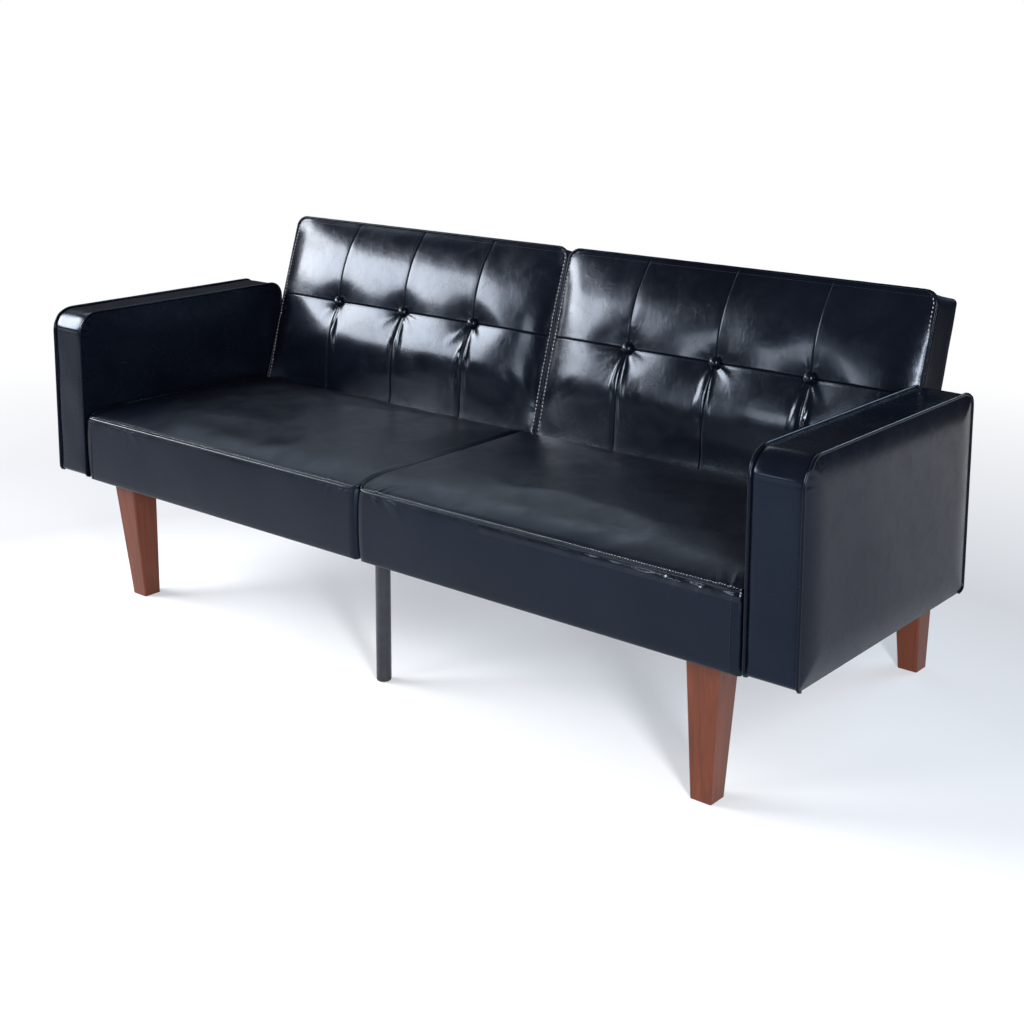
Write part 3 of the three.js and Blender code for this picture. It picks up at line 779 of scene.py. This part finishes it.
SEAT_FRONT = PAD_LOW.y - 1 * MM
SEAT_REAR = PAD_HIGH.y - 9.6 * MM
SEAT_REAR_LOW = PAD_HIGH.y - 13 * MM
SEAT_INNER = PAD_LOW.x - 1.2 * MM
SEAT_OUTER = PAD_HIGH.x + 3 * MM
SEAM_HEIGHT = 397 * MM
TUCKED = {-1: 0.35, 1: 1.1}  # how strong the tucks under each seat's front seam are
SEAT_HEIGHT = PAD_HIGH.z
SEAT_BOTTOM = RAIL_LOW.z - 2.5 * MM
GLOSSY_RINGS = 6  # bands under the right seat's front seam that shine where they are tucked
BORDER_PROFILE = (  # share of the way down, and how many millimetres the border stands out there
    (0.012, -0.6), (0.03, 0.1), (0.05, 0.7), (0.07, 1.1), (0.095, 1.4), (0.125, 1.7), (0.16, 2.0), (0.2, 2.3),
    (0.26, 2.6), (0.34, 2.9), (0.45, 3.2), (0.62, 3.2), (0.78, 2.6), (0.9, 1.7), (0.965, 0.8), (0.992, -0.8))


def seat_height(across, along):
    """Height of the seat's top: a low crown that rolls down to the front seam and the sides."""
    from_front = along - SEAT_FRONT
    rise = (SEAT_HEIGHT - SEAM_HEIGHT) * pillow(from_front, 85 * MM, 2.2)
    inner = 2.4 * MM * (1 - pillow(across - SEAT_INNER, 9 * MM, 2.0))
    outer = 7 * MM * (1 - pillow(SEAT_OUTER - across, 30 * MM, 2.2))
    rear = 12 * MM * (1 - pillow(SEAT_REAR - along, 40 * MM, 2.2))
    near_front = pillow(from_front, 60 * MM, 1.6)
    crown = 5 * MM * np.sin(math.pi * np.clip((across - SEAT_INNER) / (SEAT_OUTER - SEAT_INNER), 0, 1)) ** 0.8
    height = SEAM_HEIGHT + rise - (inner + outer) * near_front - rear
    return height + crown * near_front * pillow(SEAT_REAR - along, 120 * MM)


def simulated_seat(seed, fine_x, fine_y):
    """The inflated top of a seat at the fine grid lines, simulated on a coarser grid."""
    lines_x = np.linspace(SEAT_INNER, SEAT_OUTER, 84)
    lines_y = np.linspace(SEAT_FRONT, SEAT_REAR, 54)
    x, y = np.meshgrid(lines_x, lines_y)
    edge = np.minimum(depth_inside(x, SEAT_INNER, SEAT_OUTER), depth_inside(y, SEAT_FRONT, SEAT_REAR))
    height = seat_height(x, y) + 0.9 * MM * ripple(x, y, seed, 150 * MM) * pillow(edge, 70 * MM)
    top, under = points_at(x, y, height), points_at(x, y, 372 * MM)
    top = inflate(top, under, pressure=1.4, growth=0.001, bend=6.0, share=0.7)
    return sample_grid(top, lines_y, lines_x, fine_y, fine_x)


def front_pleats(across, along, seed):
    """Short pleats where the top meets the front seam near both ends, and a shallow sewn groove."""
    rng = np.random.default_rng(seed)
    from_front = along - SEAT_FRONT
    change = -1.3 * MM * bump(from_front - 8.5 * MM, 2.4 * MM)
    for corner, lean in ((SEAT_INNER, 1.0), (SEAT_OUTER, -1.0)):
        for _ in range(6):
            start = rng.uniform(14, 75) * MM
            tilt = rng.uniform(0.3, 0.9)
            line = (across - corner) * lean - start - tilt * from_front
            length = rng.uniform(18, 42) * MM
            change += rng.uniform(0.6, 1.4) * MM * bump(line, rng.uniform(2.5, 4.5) * MM) * np.exp(
                -(from_front / length) ** 2)
    return change * smoothstep(0.0, 6 * MM, from_front)


def border_tucks(across, drop, seed):
    """How far small slanting tucks under the front seam stand out, near both ends of the border."""
    rng = np.random.default_rng(seed)
    change = np.zeros_like(across)
    for corner, lean, count in ((SEAT_INNER, 1.0, 4), (SEAT_OUTER, -1.0, 10)):
        for _ in range(count):
            start = rng.uniform(12, 30 + 14 * count) * MM
            line = (across - corner) * lean - start - rng.uniform(0.5, 1.6) * drop
            reach = rng.uniform(12, 30) * MM
            span = smoothstep(0.0, 3 * MM, drop) * np.exp(-(drop / reach) ** 2)
            change += rng.uniform(1.8, 3.4) * MM * bump(line, rng.uniform(2.6, 4.2) * MM) * span
    pucker = 0.5 + ripple(across, 0.0, seed + 1, 55 * MM)
    return change + 1.6 * MM * bump(drop - 8 * MM, 4 * MM) * pucker * smoothstep(0.35, 0.75, across)


def seat_rings(side, edge, front_share, seed):
    """Rings down the seat's border and in under it."""
    x, y, top = edge.T
    outward_x = outward_sign(x, side * SEAT_INNER, side * SEAT_OUTER, 0.405)
    outward_y = outward_sign(y, SEAT_FRONT, SEAT_REAR, 0.250)
    rings = []
    for share, bulge in BORDER_PROFILE:
        height = top + (SEAT_BOTTOM - top) * share
        push = bulge * MM * (0.35 + 0.65 * front_share)
        push = push + front_share * border_tucks(np.abs(x), top - height, seed + 4) * TUCKED[side]
        push = push + 0.7 * MM * ripple(x, y + height, seed + 7, 170 * MM) * min(1, share * 3)
        push = np.where(y > SEAT_REAR - 2 * MM, -11 * MM * min(1.0, share * 4), push)
        rings.append(points_at(x + outward_x * push, y + outward_y * push, height))
    for inset, lift in ((3 * MM, -0.4 * MM), (16 * MM, 0.0), (22 * MM, 4 * MM)):
        inner_x = np.clip(np.abs(x), SEAT_INNER + inset, SEAT_OUTER - inset) * side
        inner_y = np.clip(y, SEAT_FRONT + inset, SEAT_REAR_LOW - inset)
        rings.append(points_at(inner_x, inner_y, SEAT_BOTTOM + lift))
    return rings


def seat_welt(name, top, fine_y):
    """A thin welt along the front seam, most of the outer side and the start of the inner side."""
    inner_side = top[1:nearest(fine_y, SEAT_FRONT + 26 * MM), 0][::-1]
    outer_side = top[1:int(len(fine_y) * 0.98), -1]
    points = resample(np.concatenate([inner_side, top[0], outer_side]), 6 * MM)
    for _ in range(6):
        points[1:-1] = 0.25 * points[:-2] + 0.5 * points[1:-1] + 0.25 * points[2:]
    points[:, 1] -= 0.7 * MM * smoothstep(0.03, 0.0, points[:, 1] - SEAT_FRONT)
    points[:, 2] += 0.8 * MM
    finish_piece(make_object(f"{name}_seat_welt", *tube(points, 2.4 * MM, closed=False), LEATHER), "base")


def seat_stitching(name, side, top, fine_y):
    """Stitches behind the front seam, and in the seam at the border's outer end."""
    height = np.linspace(SEAM_HEIGHT - 8 * MM, SEAT_BOTTOM + 6 * MM, 40)
    bulge = np.interp((SEAM_HEIGHT - height) / (SEAM_HEIGHT - SEAT_BOTTOM), *zip(*BORDER_PROFILE)) * MM
    seam = points_at(side * (SEAT_OUTER - 19 * MM), SEAT_FRONT - bulge - 0.2 * MM, height)
    seam = [(seam, (0.0, -1.0, 0.0))]
    finish_piece(stitches(f"{name}_border_stitching", seam, SEAM_THREAD, radius=0.9 * MM), "base")
    line = top[nearest(fine_y, SEAT_FRONT + 6.5 * MM), 4:-4] + [0.0, 0.0, 0.3 * MM]
    line = [(line, (0.0, -0.35, 0.94))]
    # The stitch row behind the front seam takes the thread with painted glints.
    finish_piece(stitches(f"{name}_seat_stitching", line, THREAD, 5.4 * MM, 3.2 * MM, 0.8 * MM), "base")


def build_seat(name, side):
    seed = 51 if side > 0 else 52
    fine_x = graded_lines(SEAT_INNER, SEAT_OUTER, (), 1.6 * MM, 7 * MM, 0.035)
    fine_y = graded_lines(SEAT_FRONT, SEAT_REAR, (), 1.4 * MM, 9 * MM, 0.12)
    top = simulated_seat(seed, fine_x, fine_y)
    across, along = np.meshgrid(fine_x, fine_y)
    corner = rounding(16 * MM, along - SEAT_FRONT)
    top[..., 0] += pull_ends_in(across, SEAT_INNER, SEAT_OUTER, corner, 0.9) - across
    top[..., 2] += front_pleats(across, along, seed + 3)
    top[..., 0] *= side
    edge = top.reshape(-1, 3)[grid_border(*across.shape)]
    front_share = smoothstep(0.06, 0.0, edge[:, 1] - SEAT_FRONT)
    rings = seat_rings(side, edge, front_share, seed)

    inset = 22 * MM
    under_x = np.interp(across, (SEAT_INNER, SEAT_OUTER), (SEAT_INNER + inset, SEAT_OUTER - inset)) * side
    under_y = np.interp(along, (SEAT_FRONT, SEAT_REAR), (SEAT_FRONT + inset, SEAT_REAR_LOW - inset))
    under = points_at(under_x, under_y, SEAT_BOTTOM + 4.5 * MM)
    piece = make_object(f"{name}_seat_cushion", *closed_form(top, rings, under), SEAT_LEATHER, sharp_angle=55.0)
    glossy = np.zeros(len(piece.data.polygons), dtype=np.int32)
    first = 2 * (len(fine_y) - 1) * (len(fine_x) - 1)
    tucked = (front_share > 0.5) & (np.abs(edge[:, 0]) > 0.3) & (side > 0)
    glossy[first:first + GLOSSY_RINGS * len(edge)] = np.tile(tucked, GLOSSY_RINGS)
    second_material(piece, LEATHER, glossy)
    finish_piece(piece, "base", f"{name}_seat_pad", fill=0.85)
    seat_welt(name, top, fine_y)
    seat_stitching(name, side, top, fine_y)


# ---- Arms ----

ARM_CORNERS = {"front_top": 48 * MM, "rear_top": 33 * MM, "rear_bottom": 15 * MM, "front_bottom": 10 * MM}
ARM_RINGS = (  # shares of the way from the outer to the inner side
    0.02, 0.035, 0.05, 0.07, 0.1, 0.16, 0.25, 0.37, 0.5, 0.63, 0.75, 0.84, 0.9, 0.93, 0.95, 0.965, 0.98)


def arm_outline():
    """Grid of (y, z) points filling the arm's side outline, with rounded corners."""
    lines_s = graded_lines(0.0, 1.0, (), 0.004, 0.02, 0.14)
    near_top = ARM_HIGH.z - ARM_CORNERS["front_top"] * (1 - np.sin(np.linspace(0, math.pi / 2, 34)))
    lower = graded_lines(ARM_LOW.z, near_top[0], (), 1.4 * MM, 11 * MM, 0.14)
    s, z = np.meshgrid(lines_s, np.concatenate([lower, near_top[1:]]))
    inset = {corner: rounding(radius, ARM_HIGH.z - z if "top" in corner else z - ARM_LOW.z)
             for corner, radius in ARM_CORNERS.items()}
    front = ARM_LOW.y + inset["front_top"] + inset["front_bottom"]
    rear = ARM_HIGH.y - inset["rear_top"] - inset["rear_bottom"]
    return front + (rear - front) * s, z


def arm_sides(side, seed):
    """Grids of the arm's outer and inner side, a little pleated round the front top corner."""
    y, z = arm_outline()
    edge = np.minimum(depth_inside(y, ARM_LOW.y, ARM_HIGH.y), depth_inside(z, ARM_LOW.z, ARM_HIGH.z))
    swell = pillow(edge, 62 * MM, 2.2)
    wander = ripple(y, z, seed, 240 * MM) * pillow(edge, 90 * MM)
    corner_y = ARM_LOW.y + ARM_CORNERS["front_top"]
    corner_z = ARM_HIGH.z - ARM_CORNERS["front_top"]
    from_corner = np.hypot(y - corner_y, z - corner_z)
    angle = np.arctan2(z - corner_z, corner_y - y)
    quadrant = smoothstep(-0.3, 0.1, angle) * smoothstep(1.9, 1.5, angle)
    pleats = np.cos(angle * 15 + 0.6 * np.sin(angle * 5)) * bump(from_corner - 40 * MM, 12 * MM) * quadrant
    outer_x = ARM_HIGH.x - 1.5 * MM + 8.0 * MM * swell + 0.9 * MM * wander + 0.45 * MM * pleats
    inner_x = ARM_LOW.x + 1.5 * MM - 2.2 * MM * swell - 0.5 * MM * wander - 0.6 * MM * pleats
    return points_at(side * outer_x, y, z), points_at(side * inner_x, y, z)


def arm_rings(side, start, end, centre, seed):
    """Rings across the arm's front, top and rear, with one fold across the front below the corner."""
    tangent = unit(np.roll(start, -1, axis=0) - np.roll(start, 1, axis=0))
    outward = unit(np.cross(tangent, [side * 1.0, 0.0, 0.0]))
    outward = outward * np.sign(np.sum(outward * (start - centre) * [0, 1, 1], axis=1))[:, None]
    run = path_lengths(start)
    drop = start[:, 2] - (ARM_HIGH.z - 37 * MM)
    fold = 3.1 * MM * bump(np.where(drop > 0, drop / (9.5 * MM), drop / (3.2 * MM)), 1.0)
    fold = fold * (start[:, 1] < ARM_LOW.y + 60 * MM)
    below = smoothstep(ARM_LOW.z + 30 * MM, ARM_LOW.z, start[:, 2])
    rings = []
    for share in ARM_RINGS:
        sunk = 3.4 * MM * (2 * abs(share - 0.5)) ** 9 - 0.4 * MM
        wave = 0.6 * MM * ripple(run, share * 0.1, seed + 4, 120 * MM)
        centred = 1.0 - abs(2 * share - 1) ** 3
        depth = -(sunk - wave) * (1 - below) - 0.8 * MM + fold * centred
        rings.append(start + (end - start) * share + outward * depth[:, None])
    return rings


def build_arm(name, side):
    seed = 71 if side > 0 else 72
    outer, inner = arm_sides(side, seed)
    border = grid_border(*outer.shape[:2])
    start, end = outer.reshape(-1, 3)[border], inner.reshape(-1, 3)[border]
    centre = [0.0, outer[..., 1].mean(), (ARM_LOW.z + ARM_HIGH.z) / 2]
    rings = arm_rings(side, start, end, centre, seed)
    piece = make_object(f"{name}_arm_cushion", *closed_form(outer, rings, inner), ARM_LEATHER, sharp_angle=55.0)
    finish_piece(piece, "base", f"{name}_arm_pad", fill=0.9)

    for label, loop, push in (("outer", start, 1.0), ("inner", end, -1.0)):
        lowest = np.flatnonzero(loop[:, 2] < ARM_LOW.z + 0.5 * MM)
        opened = np.roll(loop, -lowest[-1], axis=0)[:len(loop) - len(lowest) + 2]
        points = resample(opened, PIPE_PITCH) + np.array([side * push, 0.0, 0.0]) * 0.2 * MM
        radii = pipe_radii(3.0 * MM, len(points), seed + 11, 50 * MM)
        # Each piping takes a copy of the leather that reflects less: painted shade.
        piece = make_object(f"{name}_arm_{label}_piping", *tube(points, radii, closed=False), ARM_PIPING_PAINTED_SHADE)
        finish_piece(piece, "base")


# ---- Legs ----

def centre_leg(place):
    """Smooth steel tube and flange."""
    low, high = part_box(f"{place}_centre_leg")
    x, y = (low.x + high.x) / 2, (low.y + high.y) / 2
    profile = ((0.2, low.z), (14.4, low.z), (14.7, low.z + 0.4 * MM), (14.7, high.z - 6 * MM),
               (15.4, high.z - 4.4 * MM), (17.4, high.z - 3.1 * MM), (33.4, high.z - 3 * MM),
               (34.0, high.z - 2.4 * MM), (34.0, high.z - 0.5 * MM), (33.5, high.z), (0.2, high.z))
    piece = turned(f"{place}_steel_leg", profile, x, y, BLACK_STEEL)
    finish_piece(piece, "base", f"{place}_centre_leg", slot="black_steel")
    low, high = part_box(f"{place}_centre_leg_foot")
    cup = ((0.2, low.z), (11.2, low.z), (12.6, low.z + 0.5 * MM), (13.8, low.z + 1.6 * MM),
           (14.4, low.z + 3.2 * MM), (14.6, high.z - 0.6 * MM), (14.2, high.z), (0.2, high.z))
    piece = turned(f"{place}_rubber_foot", cup, x, y, RUBBER)
    finish_piece(piece, "base", f"{place}_centre_leg_foot", slot="foot_rubber")


def turned(name, profile, x, y, material, sides=48):
    """A turned solid about a vertical axis, from (radius in mm, height) pairs, closed at both ends."""
    vertices = [(x + radius * MM * cos, y + radius * MM * sin, z)
                for radius, z in profile for cos, sin in circle(sides)]
    last = len(vertices) - sides
    ends = [tuple(range(sides))[::-1], tuple(range(last, last + sides))]
    return make_object(name, vertices, bands(sides, 0, last) + ends, material, sharp_angle=35.0)


# ---- Stage ----

def build_camera():
    data = bpy.data.cameras.new("camera")
    data.lens = 56.25
    data.shift_y = -0.207
    data.clip_end = 60.0
    camera = bpy.data.objects.new("camera", data)
    azimuth, elevation, roll = math.radians(39.8), math.radians(10.0), math.radians(0.2)
    level = math.cos(elevation)
    back = Vector((math.sin(azimuth) * level, -math.cos(azimuth) * level, math.sin(elevation)))
    turn = (-back).to_track_quat("-Z", "Y").to_matrix().to_4x4() @ Matrix.Rotation(roll, 4, "Z")
    camera.matrix_world = Matrix.Translation((2.0617, -2.0214 - 0.418, 1.264)) @ turn
    bpy.context.scene.collection.objects.link(camera)
    bpy.context.scene.camera = camera


def area_light(name, place, target, width, height, power, colour=(1.0, 1.0, 1.0)):
    data = bpy.data.lights.new(name, "AREA")
    data.shape = "RECTANGLE"
    data.size, data.size_y = width, height
    data.energy = power
    data.color = colour
    light = bpy.data.objects.new(name, data)
    light.location = place
    light.visible_camera = False
    light.rotation_euler = (Vector(target) - Vector(place)).to_track_quat("-Z", "Y").to_euler()
    bpy.context.scene.collection.objects.link(light)


def build_lights():
    area_light("key_softbox", (-2.9, -1.6, 1.83), (-0.3, 0.1, 0.6), 2.15, 1.15, 200)
    area_light("front_strip", (-0.9, -3.2, 1.32), (-0.1, 0.0, 0.5), 1.0, 0.85, 30)
    area_light("edge_strip", (2.95, -2.25, 1.4), (0.5, 0.1, 0.6), 0.45, 1.7, 150)
    area_light("rear_softbox", (1.9, 3.3, 2.7), (0.2, 0.0, 0.4), 2.0, 1.4, 70, (0.62, 0.80, 1.0))
    area_light("sheen_softbox", (-2.1, 1.15, 2.6), (0.0, -0.15, 0.4), 3.0, 1.1, 24, (0.80, 0.90, 1.0))


def build_world():
    """White behind the sofa; what its leather mirrors above the horizon is a dark studio."""
    world = bpy.data.worlds.new("studio")
    bpy.context.scene.world = world
    world.use_nodes = True
    tree = world.node_tree
    path = tree.nodes.new("ShaderNodeLightPath")
    mix = tree.nodes.new("ShaderNodeMix")
    mix.data_type = "FLOAT"
    mix.inputs["A"].default_value = 0.05
    mix.inputs["B"].default_value = 1.0
    tree.links.new(path.outputs["Is Camera Ray"], mix.inputs["Factor"])
    tree.links.new(mix.outputs["Result"], tree.nodes["Background"].inputs["Strength"])
    tree.nodes["Background"].inputs["Color"].default_value = (1.0, 1.0, 1.0, 1.0)


def build_floor():
    """A pale round floor that shows shadows near the sofa and glows, as painted light, more and more outwards, so
    that it fades to white at its edge.
    """
    centre, radius = Vector((0.3, -0.8, 0.0)), 4.1
    shader = Shader("pale_floor")
    offset = shader.node("ShaderNodeVectorMath")
    offset.operation = "DISTANCE"
    shader.put(offset.inputs[0], shader.coordinates)
    shader.put(offset.inputs[1], centre)
    outward = shader.remap(offset.outputs["Value"], 0.0, 1.0, 1.2, radius - 0.1)
    colour = shader.ramp(outward, (0.0, (0.56, 0.57, 0.59)), (0.17, (0.22, 0.22, 0.23)),
                         (0.4, (0.09, 0.09, 0.095)), (1.0, (0.0, 0.0, 0.0)))
    # Painted light: the floor's own glow, dim near the sofa and full white at its edge
    glow = shader.ramp(outward, (0.0, (0.345, 0.355, 0.375)), (0.4, (0.71, 0.725, 0.75)),
                       (0.9, (1.0, 1.0, 1.0)))
    shader.set(Base_Color=colour, Emission_Color=glow, Specular_IOR_Level=0.0, Emission_Strength=1.0,
               Roughness=shader.remap(shader.noise(1.5), 0.75, 0.85))
    rim = [centre + Vector((cos, sin, 0.0)) * radius for cos, sin in circle(96)]
    floor = make_object("floor", rim, [tuple(range(len(rim)))], shader.material)


# ---- Assembly ----

build_camera()
build_world()
build_lights()
build_floor()
for name, side in (("left", -1), ("right", 1)):
    build_back(name, side)
    build_seat(name, side)
    build_arm(name, side)
for place in ("front", "rear"):
    centre_leg(place)

bpy.context.scene.view_settings.view_transform = "Standard"
